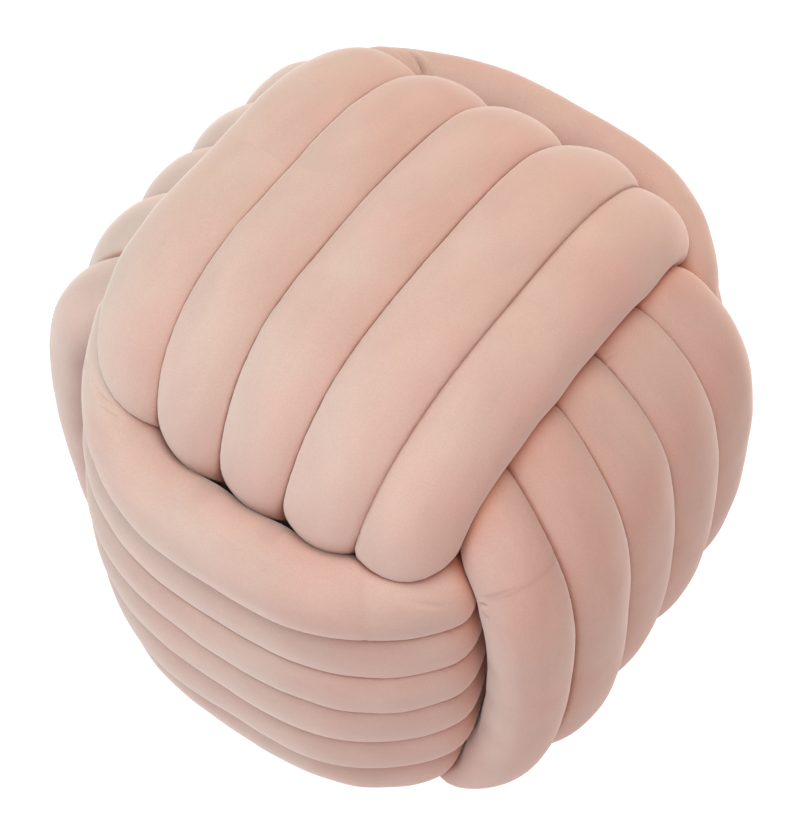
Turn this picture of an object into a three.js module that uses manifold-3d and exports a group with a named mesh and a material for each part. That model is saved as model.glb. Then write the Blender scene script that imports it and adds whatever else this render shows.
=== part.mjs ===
// A ball-shaped pouf knotted from one long stuffed velvet tube, in the manner of a monkey's fist knot.
// Three sets of turns lock round one another: each set lies open on two opposite faces of the ball
// and runs hidden under the next set everywhere else. The whole knot is one piece, so it is one solid.
// Millimetres, +Z up. The origin is on the floor, under the middle of the ball.
import * as THREE from "three";
import { mergeVertices } from "three/addons/utils/BufferGeometryUtils.js";
import Module from "manifold-3d";

// Driving sizes of the tube and of the ball that it is knotted into.
const TUBE_RADIUS = 36; // of the plump tube, outwards
const FLATTENED = 1.16; // the tube is this much wider than it is high
const BALL_RADIUS = 240; // where the turns of a set would close to nothing
const SQUARENESS = 3; // exponent of the ball's outlines: 2 is an ellipse, larger is squarer
const FLOOR_PRESS = 16; // how much of the underside the floor presses flat
const FLOOR_BLOCK = 900; // side of the block of space that does it

// Where a turn runs under the next set it is drawn in and pressed thin, by these shares.
const COVER_EDGE = 22; // length over which it goes under
const DRAWN_IN = 0.042;
const THINNING = 0.36;

// The packed inside of the knot stays under the open turns.
const HEART_SHARE = 0.95; // its size, as a share of the turns' distance from the middle
const HEART_SQUARENESS = 2.8;

// Facets: steps round each turn, sides of the tube, and segments of the heart.
const TURN_STEPS = 52;
const TUBE_SIDES = 16;
const HEART_SEGMENTS = 24;

const X = new THREE.Vector3(1, 0, 0);
const Y = new THREE.Vector3(0, 1, 0);
const Z = new THREE.Vector3(0, 0, 1);

// The three sets of turns. A turn circles in the plane of run and out, and the turns of a set lie side
// by side along across. Going round a turn there are four quarters: the near and the far face, towards
// plus and minus out, which lie open, and between them the hidden runs ahead and behind, towards plus
// and minus run. In each quarter
// off: from the middle of the ball to the centre line
// places: of each turn along across
// For each turn, lifts is how much further off it stands on its open faces, tucks is how far it is pulled
// in on the hidden run behind, and girths is its thickness, as a share of TUBE_RADIUS.
// corners: exponents of the outline from near to ahead, ahead to far, far to behind, and behind to near
const QUARTER_BLEND = 4; // how fast a turn changes over from one quarter's place to the next
const QUARTERS = ["near", "ahead", "far", "behind"];
const TOP_SET = {
  across: X, run: Y, out: Z,
  corners: [SQUARENESS, SQUARENESS, SQUARENESS, 3.96],
  lifts: [0, 0, 0, 0, -6],
  tucks: [16.5, 20.5, 22.5, 21.5, 21.5],
  girths: [0.97, 0.96, 1.03, 1.1, 1.02],
  near: { off: 194.5, places: [-107.5, -57, 0.5, 60.5, 96.5] },
  ahead: { off: 155, places: evenly(5, 50.5, -2.5) },
  far: { off: 210, places: evenly(5, 57, 3) },
  behind: { off: 158.5, places: evenly(5, 47.5, 0) },
};
const FRONT_SET = {
  across: Z, run: X, out: Y,
  corners: [SQUARENESS, 2.66, SQUARENESS, SQUARENESS],
  lifts: [0, 0, 0, 0, 0, 13],
  tucks: [0, 0, 0, 0, 0, 0],
  girths: [1, 1, 1, 1, 0.95, 0.77],
  near: { off: 181.5, places: [...evenly(5, 45.5, -18), 115.5] },
  ahead: { off: 155.5, places: [...evenly(5, 35.5, -3), 94] },
  far: { off: 171, places: [-148, -100.5, -55, -11.5, 32, 82] },
  behind: { off: 150.5, places: [...evenly(5, 37.5, -37), 178.5] },
};
const SIDE_SET = {
  across: Y, run: Z, out: X,
  corners: [SQUARENESS, SQUARENESS, SQUARENESS, SQUARENESS],
  lifts: [3.5, 0, 0, 0, 0],
  tucks: [0, 0, 0, 0, 0],
  girths: [0.75, 0.96, 0.92, 0.92, 0.92],
  near: { off: 182, places: [-107.5, -57.5, -3, 53, 102.5] },
  ahead: { off: 155, places: evenly(5, 42.5, 7.5) },
  far: { off: 193.5, places: evenly(5, 52, 15) },
  behind: { off: 192, places: evenly(5, 53, -5.5) },
};
const SETS = [TOP_SET, FRONT_SET, SIDE_SET];

// Each set lies over the ends of another one.
TOP_SET.under = FRONT_SET;
FRONT_SET.under = SIDE_SET;
SIDE_SET.under = TOP_SET;

// The middle of the knot: half way between the faces of each set over the origin, and up off the floor.
const MIDDLE = new THREE.Vector3(
  (SIDE_SET.far.off - SIDE_SET.near.off) / 2,
  (FRONT_SET.far.off - FRONT_SET.near.off) / 2,
  TOP_SET.far.off + TUBE_RADIUS - FLOOR_PRESS,
);

// Places of turns at an even pitch, about a middle that is shifted off the middle of the ball.
function evenly(count, pitch, shift) {
  return Array.from({ length: count }, (_, i) => (i - (count - 1) / 2) * pitch + shift);
}

// Place of a turn along across: a mean of its places in the four quarters, each weighted by a power
// of the cosine of the angle from that quarter.
function acrossAt(set, index, angle) {
  let weights = 0;
  let sum = 0;
  QUARTERS.forEach((quarter, i) => {
    const weight = Math.max(Math.cos(angle - (i * Math.PI) / 2), 0) ** QUARTER_BLEND;
    weights += weight;
    sum += weight * set[quarter].places[index];
  });
  return sum / weights;
}

// Distance from the middle to a turn's outline at an angle. The outline is a superellipse with a half-size
// for each quarter, and it shrinks towards the ends of the set as the circles of latitude of a ball do.
function outlineAt(set, index, angle) {
  const sine = Math.sin(angle);
  const cosine = Math.cos(angle);
  const across = Math.abs(acrossAt(set, index, angle) / BALL_RADIUS);
  const shrink = (1 - across ** SQUARENESS) ** (1 / SQUARENESS);
  const run = sine > 0 ? set.ahead.off : set.behind.off - set.tucks[index];
  const out = (cosine > 0 ? set.near.off : set.far.off) + set.lifts[index];
  const power = set.corners[THREE.MathUtils.euclideanModulo(Math.floor(angle / (Math.PI / 2)), 4)];
  const terms = Math.abs(sine / run) ** power + Math.abs(cosine / out) ** power;
  return shrink * terms ** (-1 / power);
}

// How far a turn is covered at an angle: 0 where it lies open, 1 between the end turns of the set over it.
function coverAt(set, index, angle) {
  const places = Math.sin(angle) > 0 ? set.under.near.places : set.under.far.places;
  const height = outlineAt(set, index, angle) * Math.cos(angle);
  const outside = Math.max(height - places[places.length - 1], places[0] - height);
  return 1 - THREE.MathUtils.smoothstep(outside, 0, COVER_EDGE);
}

// The centre line of one turn at an angle round it, 0 being the middle of the near face.
function centreAt(set, index, angle) {
  const distance = outlineAt(set, index, angle) * (1 - DRAWN_IN * coverAt(set, index, angle));
  return new THREE.Vector3()
    .addScaledVector(set.run, distance * Math.sin(angle))
    .addScaledVector(set.out, distance * Math.cos(angle))
    .addScaledVector(set.across, acrossAt(set, index, angle));
}

// One closed turn of the tube: a skin of oval rings of points, one round the centre line at each step.
function turnGeometry(set, index) {
  const positions = [];
  const triangles = [];
  const stepAngle = (2 * Math.PI) / TURN_STEPS;
  for (let i = 0; i < TURN_STEPS; i++) {
    const angle = i * stepAngle;
    const centre = centreAt(set, index, angle);
    const ahead = centreAt(set, index, angle + stepAngle / 2);
    const behind = centreAt(set, index, angle - stepAngle / 2);
    const along = ahead.sub(behind).normalize();
    const side = set.across.clone().addScaledVector(along, -set.across.dot(along)).normalize();
    const lift = new THREE.Vector3().crossVectors(along, side);
    const radius = TUBE_RADIUS * set.girths[index] * (1 - THINNING * coverAt(set, index, angle));
    for (let j = 0; j < TUBE_SIDES; j++) {
      const turned = (2 * Math.PI * j) / TUBE_SIDES;
      const point = centre
        .clone()
        .addScaledVector(side, radius * FLATTENED * Math.cos(turned))
        .addScaledVector(lift, radius * Math.sin(turned));
      positions.push(point.x, point.y, point.z);
      const here = i * TUBE_SIDES;
      const next = ((i + 1) % TURN_STEPS) * TUBE_SIDES;
      const k = (j + 1) % TUBE_SIDES;
      triangles.push(here + j, next + k, next + j, here + j, here + k, next + k);
    }
  }
  return closedGeometry(positions, triangles);
}

// The packed inside of the knot: a sphere pulled out to a superellipsoid that stays under the open turns.
function heartGeometry() {
  const geometry = new THREE.SphereGeometry(1, HEART_SEGMENTS, HEART_SEGMENTS / 2);
  const places = geometry.attributes.position;
  const place = new THREE.Vector3();
  for (let i = 0; i < places.count; i++) {
    place.fromBufferAttribute(places, i).normalize();
    let terms = 0;
    for (const set of SETS) {
      const out = place.dot(set.out);
      terms += Math.abs(out / (out > 0 ? set.near.off : set.far.off)) ** HEART_SQUARENESS;
    }
    place.multiplyScalar(HEART_SHARE * terms ** (-1 / HEART_SQUARENESS));
    places.setXYZ(i, place.x, place.y, place.z);
  }
  return geometry;
}

function closedGeometry(positions, triangles) {
  return new THREE.BufferGeometry()
    .setAttribute("position", new THREE.Float32BufferAttribute(positions, 3))
    .setIndex(triangles);
}

const wasm = await Module();
wasm.setup();

// A closed geometry as a solid that can be joined and cut.
function solidOf(geometry) {
  const plain = geometry.clone();
  plain.deleteAttribute("normal");
  plain.deleteAttribute("uv");
  const merged = mergeVertices(plain);
  const mesh = new wasm.Mesh({
    numProp: 3,
    vertProperties: merged.attributes.position.array,
    triVerts: new Uint32Array(merged.index.array),
  });
  return new wasm.Manifold(mesh);
}

// All the turns and the packed heart as one solid. Only its outer skin is kept, so it is filled inside.
function knotSolid() {
  const turns = SETS.flatMap((set) => set.girths.map((_, index) => solidOf(turnGeometry(set, index))));
  const skins = turns.reduce((joined, turn) => joined.add(turn), solidOf(heartGeometry())).decompose();
  return skins.reduce((outer, skin) => (skin.volume() > outer.volume() ? skin : outer));
}

// The space below the floor, which cuts the underside flat.
function floorSolid() {
  const block = new THREE.BoxGeometry(FLOOR_BLOCK, FLOOR_BLOCK, FLOOR_BLOCK);
  block.translate(0, 0, -MIDDLE.z - FLOOR_BLOCK / 2);
  return solidOf(block);
}

function geometryOf(solid) {
  const mesh = solid.getMesh();
  return closedGeometry(Array.from(mesh.vertProperties), Array.from(mesh.triVerts));
}

const velvet = new THREE.MeshStandardMaterial({ color: 0xd9b3a4, roughness: 0.85, metalness: 0 });

const knottedTube = new THREE.Mesh(geometryOf(knotSolid().subtract(floorSolid())), velvet);
knottedTube.name = "knotted_tube";
knottedTube.position.copy(MIDDLE);

const pouf = new THREE.Group();
pouf.add(knottedTube);

export default pouf;
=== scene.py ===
# %% [markdown]
# # A pouf knotted from one stuffed velvet tube
#
# The real pouf is a ball knot: one long velvet tube, stuffed plump, is wound in three sets of turns
# that lock round one another. Each set lies open on two opposite sides of the ball and dives under
# the next set at its ends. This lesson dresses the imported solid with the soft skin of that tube. The
# first step loads the solid, which fixes the size and the place of everything that follows.

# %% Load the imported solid
import math

import bpy
import numpy as np
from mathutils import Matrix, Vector


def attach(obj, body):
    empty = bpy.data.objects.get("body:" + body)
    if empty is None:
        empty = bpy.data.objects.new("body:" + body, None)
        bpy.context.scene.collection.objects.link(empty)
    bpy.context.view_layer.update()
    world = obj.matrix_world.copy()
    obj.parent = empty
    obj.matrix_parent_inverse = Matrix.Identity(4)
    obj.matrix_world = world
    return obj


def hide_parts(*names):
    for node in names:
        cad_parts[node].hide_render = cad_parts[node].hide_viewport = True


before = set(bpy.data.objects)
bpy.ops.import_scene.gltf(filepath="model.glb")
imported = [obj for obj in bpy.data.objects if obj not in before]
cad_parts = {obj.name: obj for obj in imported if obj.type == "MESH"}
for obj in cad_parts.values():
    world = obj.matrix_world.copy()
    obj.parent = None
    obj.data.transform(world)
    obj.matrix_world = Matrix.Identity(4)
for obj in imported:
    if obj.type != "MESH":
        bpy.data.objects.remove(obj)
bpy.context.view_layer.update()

# %% [markdown]
# ## Sizes of the knot
#
# A maker would measure the tube, how far each set of turns stands off the middle of the ball, and
# where each turn lies beside its neighbours. The same sizes drive the solid, so the skin lands on it
# without any fitting. Each turn circles in the plane of two axes, `run` and `out`, and the turns of a
# set lie side by side along the third, `across`. Going round a turn there are four quarters: the near
# face and the far face, which lie open, and between them the hidden runs ahead and behind.

# %% Sizes, in metres
TUBE_RADIUS = 0.036     # of the plump tube, outwards
FLATTENED = 1.16        # the tube is this much wider than it is high
BALL_RADIUS = 0.240     # where the turns of a set would close to nothing
SQUARENESS = 3.0        # exponent of the ball's outlines: 2 is an ellipse, larger is squarer
FLOOR_PRESS = 0.016     # how much of the underside the floor presses flat
COVER_EDGE = 0.022      # length over which a turn goes under the set that covers it
DRAWN_IN = 0.042        # how much a covered turn is drawn towards the middle of the ball
THINNING = 0.36         # how much a covered turn is pressed thin
X, Y, Z = 0, 1, 2
QUARTERS = ["near", "ahead", "far", "behind"]


def evenly(count, pitch, shift):
    """Places of turns at an even pitch, about a middle that is shifted off the middle of the ball."""
    return [(i - 0.5 * (count - 1)) * pitch + shift for i in range(count)]


# off: from the middle of the ball to the centre line; places: of each turn along across;
# corners: exponents of the outline from near to ahead, ahead to far, far to behind, and behind to near;
# lifts: extra distance off on the open faces;
# tucks: how far each turn is pulled in on the hidden run behind;
# girths: thickness of each turn, as a share of TUBE_RADIUS;
# yields: how much each turn gives way to the set over it, in squares of TUBE_RADIUS
TOP_SET = dict(
    name="turns_over_the_top", across=X, run=Y, out=Z,
    corners=[SQUARENESS, SQUARENESS, SQUARENESS, 3.96],
    lifts=[0.0, 0.0, 0.0, 0.0, -0.006], tucks=[0.0165, 0.0205, 0.0225, 0.0215, 0.0215],
    girths=[0.97, 0.96, 1.03, 1.10, 1.02], yields=[0.47, 0.36, 0.38, 0.50, 0.35],
    near=dict(off=0.1945, places=[-0.1075, -0.057, 0.0005, 0.0605, 0.0965]),
    ahead=dict(off=0.155, places=evenly(5, 0.0505, -0.0025)),
    far=dict(off=0.210, places=evenly(5, 0.057, 0.003)),
    behind=dict(off=0.1585, places=evenly(5, 0.0475, 0.0)))
FRONT_SET = dict(
    name="turns_round_the_front", across=Z, run=X, out=Y,
    corners=[SQUARENESS, 2.66, SQUARENESS, SQUARENESS],
    lifts=[0.0, 0.0, 0.0, 0.0, 0.0, 0.013], tucks=[0.0] * 6,
    girths=[1.0, 1.0, 1.0, 1.0, 0.95, 0.77], yields=[0.165] * 6,
    near=dict(off=0.1815, places=evenly(5, 0.0455, -0.018) + [0.1155]),
    ahead=dict(off=0.1555, places=evenly(5, 0.0355, -0.003) + [0.094]),
    far=dict(off=0.171, places=[-0.148, -0.1005, -0.055, -0.0115, 0.032, 0.082]),
    behind=dict(off=0.1505, places=evenly(5, 0.0375, -0.037) + [0.1785]))
SIDE_SET = dict(
    name="turns_round_the_sides", across=Y, run=Z, out=X,
    corners=[SQUARENESS] * 4,
    lifts=[0.0035, 0.0, 0.0, 0.0, 0.0], tucks=[0.0] * 5,
    girths=[0.75, 0.96, 0.92, 0.92, 0.92], yields=[0.03] * 5,
    near=dict(off=0.182, places=[-0.1075, -0.0575, -0.003, 0.053, 0.1025]),
    ahead=dict(off=0.155, places=evenly(5, 0.0425, 0.0075)),
    far=dict(off=0.1935, places=evenly(5, 0.052, 0.015)),
    behind=dict(off=0.192, places=evenly(5, 0.053, -0.0055)))
SETS = [TOP_SET, FRONT_SET, SIDE_SET]
TOP_SET["under"] = FRONT_SET
FRONT_SET["under"] = SIDE_SET
SIDE_SET["under"] = TOP_SET

# The middle of the knot: half way between the faces of each set over the origin, and up off the floor.
MIDDLE = np.array([
    0.5 * (SIDE_SET["far"]["off"] - SIDE_SET["near"]["off"]),
    0.5 * (FRONT_SET["far"]["off"] - FRONT_SET["near"]["off"]),
    TOP_SET["far"]["off"] + TUBE_RADIUS - FLOOR_PRESS])
print("middle of the knot (m):", MIDDLE)

# %% [markdown]
# ## The centre line of a turn
#
# One turn of the tube could be drawn as a curve by hand, but sixteen of them have to nest. A formula
# keeps them in step: in its own plane a turn is a superellipse, a rounded square, and it shrinks
# towards the ends of its set as the circles of latitude of a ball do. Where the next set covers it,
# the turn is drawn in and pressed thin, because that is where the knot squeezes it.

# %% Centre lines as functions of the angle round a turn
FULL_TURN = 2.0 * math.pi
QUARTER_TURN = 0.5 * math.pi
QUARTER_BLEND = 4.0     # how fast a turn changes over from one quarter's place to the next


def smooth(x, low, high):
    """0 below low, 1 above high, and a cubic with level ends between them."""
    t = np.clip((x - low) / (high - low), 0.0, 1.0)
    return t * t * (3.0 - 2.0 * t)


def place_across(turns, index, angle):
    """Mean of the four quarters' places, weighted by a power of the cosine of the angle from each."""
    turned = [angle - QUARTER_TURN * quarter for quarter in range(len(QUARTERS))]
    weights = [np.maximum(np.cos(t), 0.0) ** QUARTER_BLEND for t in turned]
    places = [turns[quarter]["places"][index] for quarter in QUARTERS]
    return sum(w * place for w, place in zip(weights, places)) / sum(weights)


def outline_at(turns, index, angle):
    """Distance from the middle to the superellipse |run/a|^n + |out/b|^n = shrink^n.

    a and b are taken by quarter, and n by the corner between two quarters."""
    sine, cosine = np.sin(angle), np.cos(angle)
    across = np.abs(place_across(turns, index, angle) / BALL_RADIUS)
    shrink = (1.0 - across**SQUARENESS) ** (1.0 / SQUARENESS)
    run = np.where(sine > 0.0, turns["ahead"]["off"], turns["behind"]["off"] - turns["tucks"][index])
    out = np.where(cosine > 0.0, turns["near"]["off"], turns["far"]["off"]) + turns["lifts"][index]
    corner = np.floor(angle / QUARTER_TURN).astype(int) % len(QUARTERS)
    power = np.array(turns["corners"])[corner]
    terms = np.abs(sine / run) ** power + np.abs(cosine / out) ** power
    return shrink * terms ** (-1.0 / power)


def cover_at(turns, index, angle):
    """0 where the turn lies open, 1 between the end turns of the set over it, with a soft edge between."""
    over = turns["under"]
    face = np.where(np.sin(angle) > 0.0, 0, 1)
    lowest = np.array([over["near"]["places"][0], over["far"]["places"][0]])[face]
    highest = np.array([over["near"]["places"][-1], over["far"]["places"][-1]])[face]
    height = outline_at(turns, index, angle) * np.cos(angle)
    outside = np.maximum(height - highest, lowest - height)
    return 1.0 - smooth(outside, 0.0, COVER_EDGE)


def centre_line(turns, index, angle):
    """Points of the centre line, one row for each angle, about the middle of the ball."""
    distance = outline_at(turns, index, angle) * (1.0 - DRAWN_IN * cover_at(turns, index, angle))
    points = np.zeros(angle.shape + (3,))
    points[:, turns["run"]] = distance * np.sin(angle)
    points[:, turns["out"]] = distance * np.cos(angle)
    points[:, turns["across"]] = place_across(turns, index, angle)
    return points


def tube_radius(turns, index, angle):
    """Outward radius of the tube: the turn's girth, less the share THINNING where it is covered."""
    return TUBE_RADIUS * turns["girths"][index] * (1.0 - THINNING * cover_at(turns, index, angle))


ALL_TURNS = [(turns, index) for turns in SETS for index in range(len(turns["girths"]))]
print(len(ALL_TURNS), "turns in", len(SETS), "sets")

# %% [markdown]
# Every turn has to know where its neighbours are. Asking the formula again for each neighbour would
# be slow, so each centre line is worked out once at coarse steps, as a backbone: a row of points, and
# the tube's radius at each of them.

# %% Backbones of all the turns
BACKBONE_ANGLES = np.linspace(0.0, FULL_TURN, 128, endpoint=False)
BACKBONES = [
    (centre_line(*turn, BACKBONE_ANGLES), tube_radius(*turn, BACKBONE_ANGLES)) for turn in ALL_TURNS]
tube_length = sum(np.linalg.norm(np.roll(line, -1, 0) - line, axis=1).sum() for line, _ in BACKBONES)
print("about", round(float(tube_length), 1), "m of tube")

# %% [markdown]
# ## Wrinkles
#
# Stuffed velvet is smooth where the filling stretches it, and it puckers where the tube bends sharply
# or is pinched by its neighbour. A noise would scatter wrinkles where none are, so the main ones are
# listed one by one, each as a short soft trough with a low ridge on both sides. Places are given in
# degrees: how far round the turn, and how far round the tube from straight out of the ball.

# %% Table of wrinkles
WRINKLES = [
    dict(turns=FRONT_SET, index=5, start=(-35.5, 76.0), end=(-33.0, 114.0), depth=0.0048, width=0.0025),
    dict(turns=FRONT_SET, index=5, start=(-38.5, 80.0), end=(-37.0, 104.0), depth=0.0008, width=0.0026),
    dict(turns=FRONT_SET, index=5, start=(221.0, 58.0), end=(217.0, 84.0), depth=0.0012, width=0.0013),
    dict(turns=FRONT_SET, index=5, start=(217.5, 66.0), end=(215.0, 84.0), depth=0.0010, width=0.0012),
    dict(turns=FRONT_SET, index=5, start=(143.0, 52.0), end=(137.0, 28.0), depth=0.0006, width=0.0025),
    dict(turns=SIDE_SET, index=0, start=(31.0, -98.0), end=(31.0, -86.0), depth=0.0018, width=0.0013),
    dict(turns=SIDE_SET, index=0, start=(29.0, -100.0), end=(28.0, -90.0), depth=0.0012, width=0.0013),
    dict(turns=SIDE_SET, index=3, start=(49.0, -44.0), end=(47.0, -26.0), depth=0.0008, width=0.0013),
    dict(turns=SIDE_SET, index=3, start=(46.5, -48.0), end=(46.0, -30.0), depth=0.0008, width=0.0013),
]
RIDGE_SHARE = 0.4           # height of the ridges, as a share of the trough's depth
RIDGE_WIDTHS = 2.0          # from the trough to its ridges, in widths of the trough
END_FADE = 0.7              # smaller keeps a wrinkle deep closer to its ends
METRES_ALONG = 0.20         # along the tube for each radian round the turn
METRES_AROUND = 0.040       # round the tube for each radian


def turned_from(angle, start):
    """Angle from start, between minus and plus half a turn."""
    return (angle - start + math.pi) % FULL_TURN - math.pi


def wrinkle_gaps(wrinkle, angle, around):
    """Distance of each point of the skin from the wrinkle's line, and its place along the line, 0 to 1."""
    start, end = np.radians(wrinkle["start"]), np.radians(wrinkle["end"])
    line = np.array([(end[0] - start[0]) * METRES_ALONG, (end[1] - start[1]) * METRES_AROUND])
    u = turned_from(angle, start[0])[:, None] * METRES_ALONG
    v = (around - start[1]) * METRES_AROUND
    share = np.clip((u * line[0] + v * line[1]) / (line @ line), 0.0, 1.0)
    return np.hypot(u - share * line[0], v - share * line[1]), share


def wrinkle_relief(wrinkles, angle, around):
    """Sum of troughs -exp(-(gap/width)^2) with ridges beside them, which fade out at both ends."""
    relief = np.zeros(around.shape)
    for wrinkle in wrinkles:
        gap, share = wrinkle_gaps(wrinkle, angle, around)
        widths = gap / wrinkle["width"]
        trough = np.exp(-(widths**2))
        ridge = np.exp(-((widths - RIDGE_WIDTHS) ** 2))
        fade = np.sin(math.pi * share) ** END_FADE
        relief += wrinkle["depth"] * fade * (RIDGE_SHARE * ridge - trough)
    return relief


print(len(WRINKLES), "wrinkles placed by hand")

# %% [markdown]
# ## Rings of skin round the centre line
#
# A grid needs its rows where the eye looks, and even steps would spend many of them on the hidden
# runs. So the steps along a turn are spread by a weight that is small there and large at a wrinkle.
# Each row is a ring round the centre line, and needs two directions across the tube: sideways, to the
# neighbouring turns, and out of the ball.

# %% Where the rings lie and how they stand
STEPS_ALONG = 256
HIDDEN_WEIGHT = 0.2
WRINKLE_WEIGHT = 4.0
WRINKLE_MARGIN = 0.006      # metres round a wrinkle in which the grid is finer
FINE_ALONG = np.linspace(0.0, FULL_TURN, 2001)
WRINKLE_TRIALS = np.linspace(-math.pi, math.pi, 91)     # where wrinkles are looked for on a ring
NUDGE = 1e-3                # radians to each side, to measure a direction


def near_wrinkles(wrinkles, angle, around):
    """1 on a wrinkle, falling to 0 past the margin round it."""
    if not wrinkles:
        return np.zeros(around.shape)
    gaps = [wrinkle_gaps(row, angle, around)[0] - RIDGE_WIDTHS * row["width"] for row in wrinkles]
    return 1.0 - smooth(np.min(gaps, axis=0), 0.0, WRINKLE_MARGIN)


def grid_angles(turns, index, wrinkles):
    """Angles round the turn at even steps along the tube, but wider under cover and closer at wrinkles."""
    line = centre_line(turns, index, FINE_ALONG)
    rings = np.broadcast_to(WRINKLE_TRIALS, (len(FINE_ALONG), len(WRINKLE_TRIALS)))
    weight = 1.0 - (1.0 - HIDDEN_WEIGHT) * cover_at(turns, index, FINE_ALONG)
    weight += WRINKLE_WEIGHT * near_wrinkles(wrinkles, FINE_ALONG, rings).max(1)
    lengths = np.linalg.norm(np.diff(line, axis=0), axis=1) * 0.5 * (weight[1:] + weight[:-1])
    travelled = np.concatenate([[0.0], np.cumsum(lengths)])
    even = np.linspace(0.0, travelled[-1], STEPS_ALONG, endpoint=False)
    return np.interp(even, travelled, FINE_ALONG)


def unit(vectors):
    """Vectors divided by their lengths."""
    return vectors / np.linalg.norm(vectors, axis=-1, keepdims=True)


def ring_frames(turns, index, angle):
    """For each angle: the centre, and unit vectors sideways and out of the ball.

    Sideways is the across axis without its part along the tube, and outward is square to both."""
    centre = centre_line(turns, index, angle)
    along = unit(centre_line(turns, index, angle + NUDGE) - centre_line(turns, index, angle - NUDGE))
    side = unit(np.eye(3)[turns["across"]] - along[:, [turns["across"]]] * along)
    outward = np.cross(along, side)
    return centre, side, outward * np.sign((outward * centre).sum(1, keepdims=True))


print(STEPS_ALONG, "rings on each turn")

# %% [markdown]
# ## How the turns press on each other
#
# A cloth simulation of sixteen stuffed tubes takes far too long, and it lets them slip. The shape
# that they settle into has a simple rule instead: two equal tubes that push on each other meet half
# way. So from a point of the centre line the skin goes out by the tube's own oval, or to the plane
# half way to the nearest neighbour, whichever comes first. A thinner neighbour gives way more, and so
# does one that dives under the other. Blending the two smoothly leaves round lips at the creases:
# tight ones between turns that lie side by side, and softer ones where a turn rolls in to dive under
# another.

# %% Press each turn against its neighbours
SHARPNESS = dict(beside=32.0, under=16.0, over=7.0)     # larger makes a tighter crease with the neighbour
THINNEST = 0.12         # a pressed tube keeps this share of its radius
LEAST_ROOM = 0.4        # where planes would pass behind the centre line, in squares of TUBE_RADIUS
PRESS_RANGE = 5.0       # neighbours further off than this many radii are left out
NO_WALL = 1.0           # metres to the plane of a neighbour that lies the other way
TINY = 1e-9
FINE_AROUND = np.linspace(-math.pi, math.pi, 161)


def around_directions(side, outward, around):
    """Unit vectors from the centre line, turned by the angle around from straight out of the ball."""
    return np.sin(around)[..., None] * side[:, None] + np.cos(around)[..., None] * outward[:, None]


def right_of_way(number, other):
    """How the other turn lies to this one, and how much it gives way, in squares of TUBE_RADIUS.

    That is below 0 where this turn dives under the other one."""
    turns, index = ALL_TURNS[number]
    other_turns, other_index = ALL_TURNS[other]
    if turns["under"] is other_turns:
        return "over", -turns["yields"][index]
    if other_turns["under"] is turns:
        return "under", other_turns["yields"][other_index]
    return "beside", 0.0


def wall_distance(centre, direction, radius, line, other_radius, way):
    """Distance in each direction to the nearest plane half way to a neighbour, or None if it is far off.

    Half way is where both tubes' powers, distance^2 - radius^2, are equal. The way is added to the square,
    which is then kept above 0 by (s + sqrt(s^2 + least^2)) / 2."""
    apart = centre[:, None] - line[None]
    square = (apart**2).sum(2) + radius[:, None] ** 2 - other_radius[None] ** 2 + way * TUBE_RADIUS**2
    square = 0.5 * (square + np.hypot(square, LEAST_ROOM * TUBE_RADIUS**2))
    close = square.min(0) < (PRESS_RANGE * TUBE_RADIUS) ** 2
    if not close.any():
        return None
    towards = -2.0 * direction @ apart[:, close].transpose(0, 2, 1)
    planes = square[:, None, close] / np.maximum(towards, TINY)
    return np.where(towards > TINY, planes, NO_WALL).min(2)


def pressed_reach(number, centre, direction, radius):
    """Distance to the skin in each direction, (reach^-p + sum of walls^-p)^(-1/p), and how open it is.

    It starts as the tube's own oval. The neighbours beside, under and over it are blended in one after
    another, each kind with its own sharpness p."""
    oval = np.sqrt((np.sin(FINE_AROUND) / FLATTENED) ** 2 + np.cos(FINE_AROUND) ** 2)
    reach = radius[:, None] / oval
    openness = np.ones(reach.shape)
    walls = {kind: np.zeros(reach.shape) for kind in SHARPNESS}
    for other, (line, other_radius) in enumerate(BACKBONES):
        if other == number:
            continue
        kind, way = right_of_way(number, other)
        half_way = wall_distance(centre, direction, radius, line, other_radius, way)
        if half_way is not None:
            walls[kind] += np.maximum(half_way, THINNEST * radius[:, None]) ** -SHARPNESS[kind]
    for kind, sharpness in SHARPNESS.items():
        free = reach**-sharpness
        openness *= free / (free + walls[kind])
        reach = (free + walls[kind]) ** (-1.0 / sharpness)
    return reach, openness


print("skin is worked out in", len(FINE_AROUND) - 1, "directions round each ring")

# %% [markdown]
# The creases are where the eye rests, and there the skin turns sharply within a few millimetres.
# Evenly spaced columns would cut those corners. So on each ring the columns are spread by a weight
# that is large on the lips and at wrinkles, and small on the side that faces into the ball.

# %% Columns of the grid, closer together on the lips
STEPS_AROUND = 64
LIP_WEIGHT = 2.0            # on a lip, where the skin is half open
INNER_WEIGHT = 0.2
INNER_EDGE = (-0.6, 0.2)    # cosine of the angle from straight out, from the inner side to the outer one


def rows_interp(where, keys, values):
    """np.interp on all rows at once: each row is shifted past the one before it, and all are joined."""
    width = 2.0 * (keys.max() - keys.min())
    rows = width * np.arange(len(keys))[:, None]
    found = np.interp((where + rows).ravel(), (keys + rows).ravel(), values.ravel())
    return found.reshape(where.shape)


def column_weight(openness, fine):
    """INNER_WEIGHT rising to 1 outside, and on the lips LIP_WEIGHT times 4 x (1 - x) of the openness x."""
    weight = INNER_WEIGHT + (1.0 - INNER_WEIGHT) * smooth(np.cos(fine), *INNER_EDGE)
    return weight + 4.0 * LIP_WEIGHT * openness * (1.0 - openness)


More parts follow.
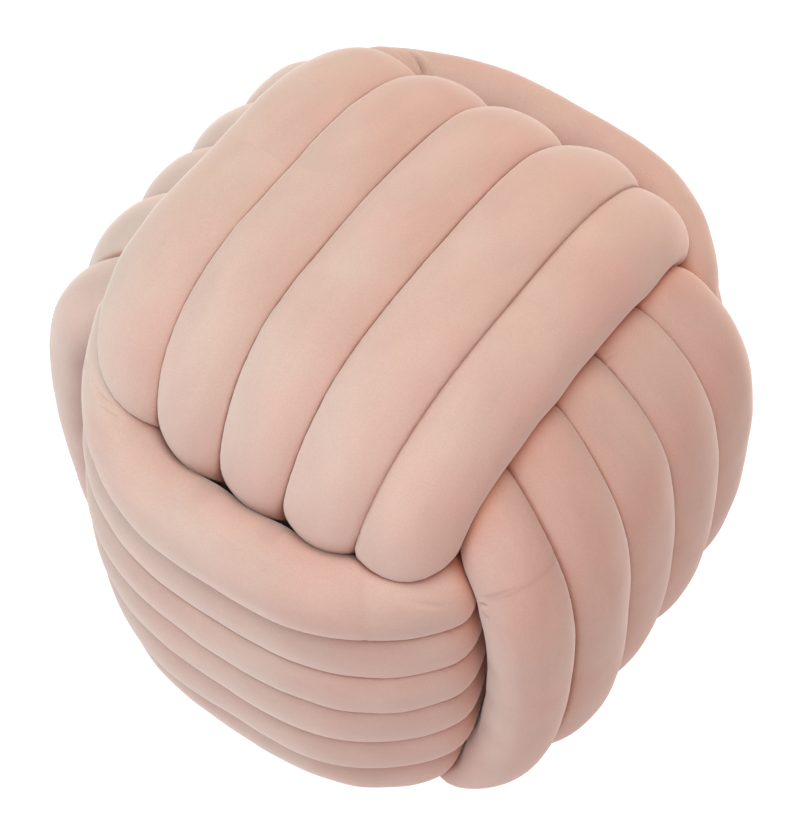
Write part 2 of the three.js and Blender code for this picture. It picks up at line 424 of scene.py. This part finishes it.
def spread_around(reach, weight):
    """Angles round each ring, STEPS_AROUND of them, at equal steps of weighted length round the skin."""
    fine = np.broadcast_to(FINE_AROUND, reach.shape)
    length = np.hypot(np.diff(reach, axis=1), reach[:, 1:] * np.diff(fine, axis=1))
    travelled = np.cumsum(length * 0.5 * (weight[:, 1:] + weight[:, :-1]), axis=1)
    travelled = np.concatenate([np.zeros((len(reach), 1)), travelled], axis=1)
    share = travelled / travelled[:, -1:]
    even = np.linspace(0.0, 1.0, STEPS_AROUND, endpoint=False)
    return rows_interp(np.broadcast_to(even, (len(reach), STEPS_AROUND)), share, fine)


print(STEPS_AROUND, "columns round each ring")

# %% [markdown]
# Hand stuffing is never quite even. Sculpting every turn would take long, and a few slow waves
# through space, of less than a millimetre, are enough to take the machine-made look off. They are
# added only where the skin lies open.

# %% Uneven stuffing
WAVES = [dict(length=0.095, height=0.0007), dict(length=0.034, height=0.0002)]
WAVES_OF_EACH = 6
WAVE_SEED = 5


def unevenness(points):
    """Sum of sine waves, a few of each length, in directions and phases drawn from a fixed seed."""
    draw = np.random.default_rng(WAVE_SEED)
    total = np.zeros(points.shape[:-1])
    for wave in WAVES:
        directions = unit(draw.normal(size=(WAVES_OF_EACH, 3)))
        phases = draw.uniform(0.0, FULL_TURN, WAVES_OF_EACH)
        for direction, phase in zip(directions, phases):
            total += wave["height"] * np.sin(FULL_TURN / wave["length"] * points @ direction + phase)
    return total / math.sqrt(WAVES_OF_EACH)


print(len(WAVES) * WAVES_OF_EACH, "waves in the stuffing")

# %% [markdown]
# Where a turn dives under another one, the only light that gets in has bounced from velvet to velvet,
# and each bounce makes it redder. A render with few bounces misses most of that. So the skin keeps a
# share of how buried it is, and the velvet gets a redder colour by it.

# %% How buried the skin is
BURIED_NEAR = 0.006                 # gap to the turn above over which the skin comes out of its shade
BURIED_DEPTH = (-0.004, 0.014)      # from open to buried, below the crown of the turn above


def buried_share(number, points):
    """1 for skin that lies deep and close beside a turn that it dives under, and 0 for open skin.

    Depth is counted down from the other turn's crown, and closeness is exp(-gap / BURIED_NEAR)."""
    buried = np.zeros(points.shape[:-1])
    level = np.linalg.norm(points, axis=-1)
    for other, (line, other_radius) in enumerate(BACKBONES):
        if other == number or right_of_way(number, other)[0] != "over":
            continue
        square = level[..., None] ** 2 + (line**2).sum(1) - 2.0 * points @ line.T
        gap = np.sqrt(np.maximum(square, 0.0)) - other_radius
        crown = (np.linalg.norm(line, axis=1) + other_radius)[gap.argmin(-1)]
        close = np.exp(-np.maximum(gap.min(-1), 0.0) / BURIED_NEAR)
        buried = np.maximum(buried, close * smooth(crown - level, *BURIED_DEPTH))
    return buried


print("skin comes out of the shade of a turn above it over", BURIED_NEAR, "m")

# %% [markdown]
# Now each turn can be put together: rings along it, columns round it, the pressed reach of the skin,
# then the uneven stuffing and the wrinkles on top.

# %% Grids of all the turns
def turn_grid(number):
    """One turn's grid: points (steps along, steps around, 3), angle around, share of the radius left,
    and two shares for the velvet: how open and how buried the skin is."""
    turns, index = ALL_TURNS[number]
    wrinkles = [row for row in WRINKLES if row["turns"] is turns and row["index"] == index]
    angle = grid_angles(turns, index, wrinkles)
    centre, side, outward = ring_frames(turns, index, angle)
    radius = tube_radius(turns, index, angle)
    fine = np.broadcast_to(FINE_AROUND, (len(angle), len(FINE_AROUND)))
    reach, openness = pressed_reach(number, centre, around_directions(side, outward, fine), radius)
    weight = column_weight(openness, fine) + WRINKLE_WEIGHT * near_wrinkles(wrinkles, angle, fine)
    around = spread_around(reach, weight)
    chosen = rows_interp(around, fine, reach)
    directions = around_directions(side, outward, around)
    open_skin = rows_interp(around, fine, openness)
    waves = unevenness(centre[:, None] + directions * chosen[..., None]) * open_skin
    chosen = chosen + waves + wrinkle_relief(wrinkles, angle, around)
    points = centre[:, None] + directions * chosen[..., None]
    return dict(
        points=points, around=around, left=chosen / radius[:, None],
        open_skin=open_skin, buried_skin=buried_share(number, points))


GRIDS = [turn_grid(number) for number in range(len(ALL_TURNS))]
thinnest = min(float(grid["left"].min()) for grid in GRIDS)
print("thinnest place keeps", round(thinnest, 2), "of the tube's radius")

# %% [markdown]
# ## Standing on the floor
#
# The knot is soft, so its weight presses the underside flat. Cutting it off there would leave a sharp
# rim. A smooth maximum with the floor's height is kinder: the skin levels out on the floor with a
# rounded edge, and nothing reaches below it.

# %% Press the underside on the floor
FLOOR_EDGE = 0.004      # metres over which the underside rounds off


def stand_on_floor(points):
    """z becomes (z + sqrt(z^2 + e^2)) / 2, a maximum of z and 0 that is rounded over the edge e."""
    stood = points + MIDDLE
    stood[..., Z] = 0.5 * (stood[..., Z] + np.sqrt(stood[..., Z] ** 2 + FLOOR_EDGE**2))
    return stood


for grid in GRIDS:
    grid["points"] = stand_on_floor(grid["points"])
print("lowest point (m):", round(float(min(grid["points"][..., Z].min() for grid in GRIDS)), 5))

# %% [markdown]
# ## Meshes
#
# Each set of turns becomes one piece. Its grids close on themselves both ways, so every quad has a
# neighbour on all four sides and there are no poles or seams to sew up. The cloth's own coordinates,
# metres along the tube and round it, go into a UV map, so that the nap can follow the tube. How open
# and how buried the skin is goes into two attributes, so that the velvet can carry painted shade, a
# deeper brown, in the creases and a painted redder bounce light where the skin is buried.

# %% Put the grids into meshes
TURN_LENGTH = 1.5       # metres of cloth from the start of one turn to the start of the next


def closed_quads(rows, columns, first):
    """Corner numbers, row times columns plus column, of a grid that wraps both ways."""
    i, j = np.meshgrid(np.arange(rows), np.arange(columns), indexing="ij")
    k, m = (i + 1) % rows, (j + 1) % columns
    quads = np.stack([i * columns + j, i * columns + m, k * columns + m, k * columns + j], axis=-1)
    return quads.reshape(-1, 4) + first


def cloth_uv(grid, first_along):
    """UVs of each quad's corners: mean length along the tube, and the angle round it times TUBE_RADIUS."""
    points = grid["points"]
    lengths = np.linalg.norm(np.roll(points, -1, 0) - points, axis=2).mean(1)
    along = first_along + np.concatenate([[0.0], np.cumsum(lengths)])
    around = np.concatenate([grid["around"], grid["around"][:, :1] + FULL_TURN], axis=1) * TUBE_RADIUS
    around = np.concatenate([around, around[:1]])
    i, j = np.meshgrid(np.arange(len(lengths)), np.arange(points.shape[1]), indexing="ij")
    corners = [(i, j), (i, j + 1), (i + 1, j + 1), (i + 1, j)]
    uv = [np.stack([along[a], around[a, b]], axis=-1) for a, b in corners]
    return np.stack(uv, axis=2).reshape(-1, 2)


def skin_object(name, grids):
    """One piece with the grids of one set, smooth shaded, with its UV map and the skin's two shares."""
    counts = [grid["points"][..., 0].size for grid in grids]
    firsts = np.concatenate([[0], np.cumsum(counts)[:-1]])
    quads = [closed_quads(*grid["points"].shape[:2], first) for grid, first in zip(grids, firsts)]
    quads = np.concatenate(quads)
    points = np.concatenate([grid["points"].reshape(-1, 3) for grid in grids])
    mesh = bpy.data.meshes.new(name)
    mesh.vertices.add(len(points))
    mesh.vertices.foreach_set("co", points.astype(np.float32).ravel())
    mesh.loops.add(quads.size)
    mesh.loops.foreach_set("vertex_index", quads.astype(np.int32).ravel())
    mesh.polygons.add(len(quads))
    mesh.polygons.foreach_set("loop_start", np.arange(0, quads.size, 4, dtype=np.int32))
    mesh.update(calc_edges=True)
    mesh.polygons.foreach_set("use_smooth", np.ones(len(quads), dtype=bool))
    uv = np.concatenate([cloth_uv(grid, TURN_LENGTH * place) for place, grid in enumerate(grids)])
    mesh.uv_layers.new(name="cloth").data.foreach_set("uv", uv.astype(np.float32).ravel())
    for share in ["open_skin", "buried_skin"]:
        values = np.concatenate([grid[share].ravel() for grid in grids]).astype(np.float32)
        mesh.attributes.new(share, "FLOAT", "POINT").data.foreach_set("value", values)
    mesh.validate()
    piece = bpy.data.objects.new(name, mesh)
    bpy.context.scene.collection.objects.link(piece)
    return piece


PIECES = {}
for turns in SETS:
    piece = skin_object(turns["name"], [grid for grid, turn in zip(GRIDS, ALL_TURNS) if turn[0] is turns])
    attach(piece, "root")
    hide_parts("knotted_tube")
    PIECES[turns["name"]] = piece
    print(piece.name, 2 * len(piece.data.polygons), "triangles")

# %% [markdown]
# ## Velvet
#
# Velvet is a short upright pile. Seen end on it is deep in colour, and seen aslant the fibres' sides
# catch the light, which is what sheen in the shader is for. The pile also lies over in patches, so
# the colour drifts a little over a hand's width between pink and beige, its brightness changes in
# streaks along the tube, and fine grain breaks it up. In the creases the colour goes to a deeper
# brown, which is painted shade, and where the skin is buried it is redder, which is painted light
# bounced from velvet to velvet. An image would need unwrapping and would repeat, so all of this is
# made with noises and the skin's own attributes.

# %% Colours and sizes of the pile
NAP_PINK = (0.566, 0.326, 0.274)
NAP_BEIGE = (0.551, 0.360, 0.301)
# painted shade: the deeper brown that stands in for the shade in the creases
PAINTED_CREASE_SHADE = (0.40, 0.165, 0.11)
# painted light: a redder colour that stands in for light bounced between the turns where the skin is
# buried
PAINTED_BOUNCE_RED = (0.68, 0.26, 0.17)
NAP_DARKEST = 0.92              # brightness of the streaks of nap that lie away from the light
GRAIN_DARKEST = 0.92            # the same for single tufts
CREASE_END = 0.9                # skin that is this open has none of the painted crease shade
DRIFT = dict(scale=14.0, detail=4.0)
NAP = dict(scale=1.0, detail=5.0)
GRAIN = dict(scale=900.0, detail=2.0)
NAP_STRETCH = (18.0, 40.0, 1.0)     # streaks in each metre along the tube and round it
NOISE_RANGE = (0.3, 0.7)            # nearly all of a noise lies between these
TUFTS = {"Strength": 0.15, "Distance": 0.0005}
PILE = {
    "Roughness": 0.85,
    "Specular IOR Level": 0.15,
    "Sheen Weight": 0.5,
    "Sheen Roughness": 0.45,
    "Sheen Tint": (1.0, 0.88, 0.82, 1.0),
}
print("velvet from pink", NAP_PINK, "to beige", NAP_BEIGE)


# %% Nodes that the velvet is made of
def noise_on(tree, coordinates, scale, detail):
    """Grey output of a noise on the given coordinates."""
    noise = tree.nodes.new("ShaderNodeTexNoise")
    noise.inputs["Scale"].default_value = scale
    noise.inputs["Detail"].default_value = detail
    tree.links.new(coordinates, noise.inputs["Vector"])
    return noise.outputs["Fac"]


def brightness(tree, noise, darkest):
    """Goes from darkest to 1 as a noise goes over its range."""
    level = tree.nodes.new("ShaderNodeMapRange")
    level.inputs["From Min"].default_value = NOISE_RANGE[0]
    level.inputs["From Max"].default_value = NOISE_RANGE[1]
    level.inputs["To Min"].default_value = darkest
    tree.links.new(noise, level.inputs["Value"])
    return level.outputs["Result"]


def skin_share(tree, name):
    """Output of one of the skin's attributes."""
    attribute = tree.nodes.new("ShaderNodeAttribute")
    attribute.attribute_name = name
    return attribute.outputs["Fac"]


def colour_mix(tree):
    """A node that goes from colour A to colour B."""
    mix = tree.nodes.new("ShaderNodeMix")
    mix.data_type = "RGBA"
    return mix


def pile_colour(tree, place):
    """Pink that drifts to beige, painted shade of deeper brown in the creases, and painted redder bounce
    light where the skin is buried.
    """
    tint = tree.nodes.new("ShaderNodeValToRGB")
    for element, position, colour in zip(tint.color_ramp.elements, NOISE_RANGE, [NAP_PINK, NAP_BEIGE]):
        element.position = position
        element.color = (*colour, 1.0)
    tree.links.new(noise_on(tree, place, **DRIFT), tint.inputs["Fac"])
    # painted shade: the less open the skin is, the closer its colour goes to the deeper brown of the
    # creases
    openness = tree.nodes.new("ShaderNodeMapRange")
    openness.interpolation_type = "SMOOTHSTEP"
    openness.inputs["From Max"].default_value = CREASE_END
    tree.links.new(skin_share(tree, "open_skin"), openness.inputs["Value"])
    crease_shade = colour_mix(tree)
    crease_shade.inputs["A"].default_value = (*PAINTED_CREASE_SHADE, 1.0)
    tree.links.new(openness.outputs["Result"], crease_shade.inputs["Factor"])
    tree.links.new(tint.outputs["Color"], crease_shade.inputs["B"])
    # painted light: buried skin goes redder, in place of the light bounced from velvet to velvet
    buried = colour_mix(tree)
    buried.inputs["B"].default_value = (*PAINTED_BOUNCE_RED, 1.0)
    tree.links.new(skin_share(tree, "buried_skin"), buried.inputs["Factor"])
    tree.links.new(crease_shade.outputs["Result"], buried.inputs["A"])
    return buried.outputs["Result"]


print("colour drifts over about", round(1.0 / DRIFT["scale"], 2), "m")


# %% Velvet material
def velvet_material():
    """The pile's colour times the brightness of nap and grain, with the grain as a low bump."""
    material = bpy.data.materials.new("dusty_pink_velvet")
    material.use_nodes = True
    tree = material.node_tree
    shader = tree.nodes["Principled BSDF"]
    for socket, value in PILE.items():
        shader.inputs[socket].default_value = value

    place = tree.nodes.new("ShaderNodeTexCoord").outputs["Object"]
    grain = noise_on(tree, place, **GRAIN)
    cloth = tree.nodes.new("ShaderNodeUVMap")
    cloth.uv_map = "cloth"
    stretch = tree.nodes.new("ShaderNodeMapping")
    stretch.inputs["Scale"].default_value = NAP_STRETCH
    tree.links.new(cloth.outputs["UV"], stretch.inputs["Vector"])
    nap = noise_on(tree, stretch.outputs["Vector"], **NAP)

    shade = tree.nodes.new("ShaderNodeMath")
    shade.operation = "MULTIPLY"
    tree.links.new(brightness(tree, nap, NAP_DARKEST), shade.inputs[0])
    tree.links.new(brightness(tree, grain, GRAIN_DARKEST), shade.inputs[1])
    shaded = colour_mix(tree)
    shaded.blend_type = "MULTIPLY"
    shaded.inputs["Factor"].default_value = 1.0
    tree.links.new(pile_colour(tree, place), shaded.inputs["A"])
    tree.links.new(shade.outputs["Value"], shaded.inputs["B"])
    tree.links.new(shaded.outputs["Result"], shader.inputs["Base Color"])

    bump = tree.nodes.new("ShaderNodeBump")
    for socket, value in TUFTS.items():
        bump.inputs[socket].default_value = value
    tree.links.new(grain, bump.inputs["Height"])
    tree.links.new(bump.outputs["Normal"], shader.inputs["Normal"])
    return material


VELVET = velvet_material()
for piece in PIECES.values():
    piece.data.materials.append(VELVET)
print("velvet on", len(PIECES), "pieces")

# %% [markdown]
# ## Floor
#
# A white studio floor, lit evenly from all round, shows hardly any shadow and no edge. Lighting it so
# would take lights outside the picture for the floor alone. A plain wide plane that glows white by
# itself looks the same, and lights the lower turns from below as such a floor does.

# %% Floor
FLOOR_SIZE = 200.0          # metres, so that its edge stays out of low views
FLOOR_GREY = 0.1            # of its paint
FLOOR_GLOW = (1.0, 0.985, 0.985)
FLOOR_GLOW_STRENGTH = 1.02
FLOOR_ROUGHNESS = 0.9


def floor_plane(size):
    """One level square about the origin, at the height of the floor."""
    half = size / 2
    corners = [(-half, -half, 0), (half, -half, 0), (half, half, 0), (-half, half, 0)]
    mesh = bpy.data.meshes.new("floor")
    mesh.from_pydata(corners, [], [(0, 1, 2, 3)])
    plane = bpy.data.objects.new("floor", mesh)
    bpy.context.scene.collection.objects.link(plane)
    paint = bpy.data.materials.new("pale_floor")
    paint.use_nodes = True
    shader = paint.node_tree.nodes["Principled BSDF"]
    shader.inputs["Base Color"].default_value = (FLOOR_GREY, FLOOR_GREY, FLOOR_GREY, 1.0)
    shader.inputs["Roughness"].default_value = FLOOR_ROUGHNESS
    shader.inputs["Emission Color"].default_value = (*FLOOR_GLOW, 1.0)
    shader.inputs["Emission Strength"].default_value = FLOOR_GLOW_STRENGTH
    mesh.materials.append(paint)
    return plane


floor_plane(FLOOR_SIZE)
print("floor", FLOOR_SIZE, "m across")

# %% [markdown]
# ## Lights
#
# Large soft lights all round give the even look of a studio. Those overhead, on the left and low in
# front are cool, and those on the camera's side and behind are warm, so the right-hand side falls
# into gentle, warmer shade. A picture of a studio all round could light the scene too, but separate
# lights can be tuned one by one. All of them look at the knot from the same distance, so each is
# given by its direction.

# %% Lights
LIGHT_SIZE = 1.4            # metres across
LIGHT_DISTANCE = 2.2        # metres from the middle of the knot
LIGHTS = [
    dict(name="overhead_light", turn=40.0, height=80.0, watts=37.6, tint=(0.84, 1.0, 0.99)),
    dict(name="left_light", turn=-40.0, height=52.0, watts=17.5, tint=(0.60, 0.97, 1.0)),
    dict(name="low_left_light", turn=-56.0, height=10.0, watts=17.2, tint=(0.73, 0.98, 1.0)),
    dict(name="camera_side_light", turn=50.0, height=52.0, watts=16.2, tint=(1.0, 0.67, 0.60)),
    dict(name="low_front_light", turn=-14.0, height=8.0, watts=12.0, tint=(0.48, 0.77, 1.0)),
    dict(name="low_back_light", turn=190.0, height=20.0, watts=27.5, tint=(1.0, 0.83, 0.66)),
]
WORLD_TINT = (1.0, 0.75, 0.65)
WORLD_STRENGTH = 0.1


def aim(thing, place, target):
    """Put a light or camera at place, with its -Z axis towards target and its top towards +Z."""
    thing.location = place
    thing.rotation_euler = (Vector(target) - Vector(place)).to_track_quat("-Z", "Y").to_euler()


def outwards(turn, height):
    """Unit vector, turned by degrees from the front to the right, and up by degrees."""
    across, up = math.radians(turn), math.radians(height)
    return np.array([math.sin(across) * math.cos(up), -math.cos(across) * math.cos(up), math.sin(up)])


def soft_box(name, turn, height, watts, tint):
    """A round area light that looks at the middle of the knot."""
    lamp = bpy.data.lights.new(name, "AREA")
    lamp.shape = "DISK"
    lamp.size = LIGHT_SIZE
    lamp.energy = watts
    lamp.color = tint
    box = bpy.data.objects.new(name, lamp)
    bpy.context.scene.collection.objects.link(box)
    aim(box, tuple(MIDDLE + LIGHT_DISTANCE * outwards(turn, height)), tuple(MIDDLE))
    return box


for light in LIGHTS:
    soft_box(**light)
print(len(LIGHTS), "soft lights")
world = bpy.data.worlds.new("studio")
world.use_nodes = True
world.node_tree.nodes["Background"].inputs["Color"].default_value = (*WORLD_TINT, 1.0)
world.node_tree.nodes["Background"].inputs["Strength"].default_value = WORLD_STRENGTH
bpy.context.scene.world = world
bpy.context.scene.view_settings.view_transform = "Standard"

# %% [markdown]
# ## Camera
#
# The camera looks down at the corner where three sets meet, through a long lens, which keeps the
# turns at the back nearly as large as those in front. A camera could be moved by hand until the
# picture looks right, but with its place worked out from two angles and a distance, each of them can
# be set by itself.

# %% Camera
PICTURE_LONG_SIDE = 838         # pixels
FOCAL_PIXELS = 2906.0
SENSOR_WIDTH = 36.0             # millimetres
CAMERA_TURN = 35.12             # degrees from the front to the right
CAMERA_HEIGHT = 56.34           # degrees up
CAMERA_DISTANCE = 1.991         # metres from the point that it looks at
AIM_RIGHT = 0.00135             # the camera points this far to the right of the knot's middle
AIM_UP = 0.0028                 # and this far above it


def photo_camera():
    """A camera whose lens is the focal length in pixels, on the sensor's scale."""
    lens = bpy.data.cameras.new("photo_camera")
    lens.sensor_width = SENSOR_WIDTH
    lens.lens = SENSOR_WIDTH * FOCAL_PIXELS / PICTURE_LONG_SIDE
    camera = bpy.data.objects.new("photo_camera", lens)
    bpy.context.scene.collection.objects.link(camera)
    back = outwards(CAMERA_TURN, CAMERA_HEIGHT)
    up = unit(np.array([0.0, 0.0, 1.0]) - back[Z] * back)
    target = MIDDLE + AIM_RIGHT * np.cross(up, back) + AIM_UP * up
    aim(camera, tuple(target + CAMERA_DISTANCE * back), tuple(target))
    return camera


bpy.context.scene.camera = photo_camera()
print("lens", round(bpy.context.scene.camera.data.lens, 1), "mm")
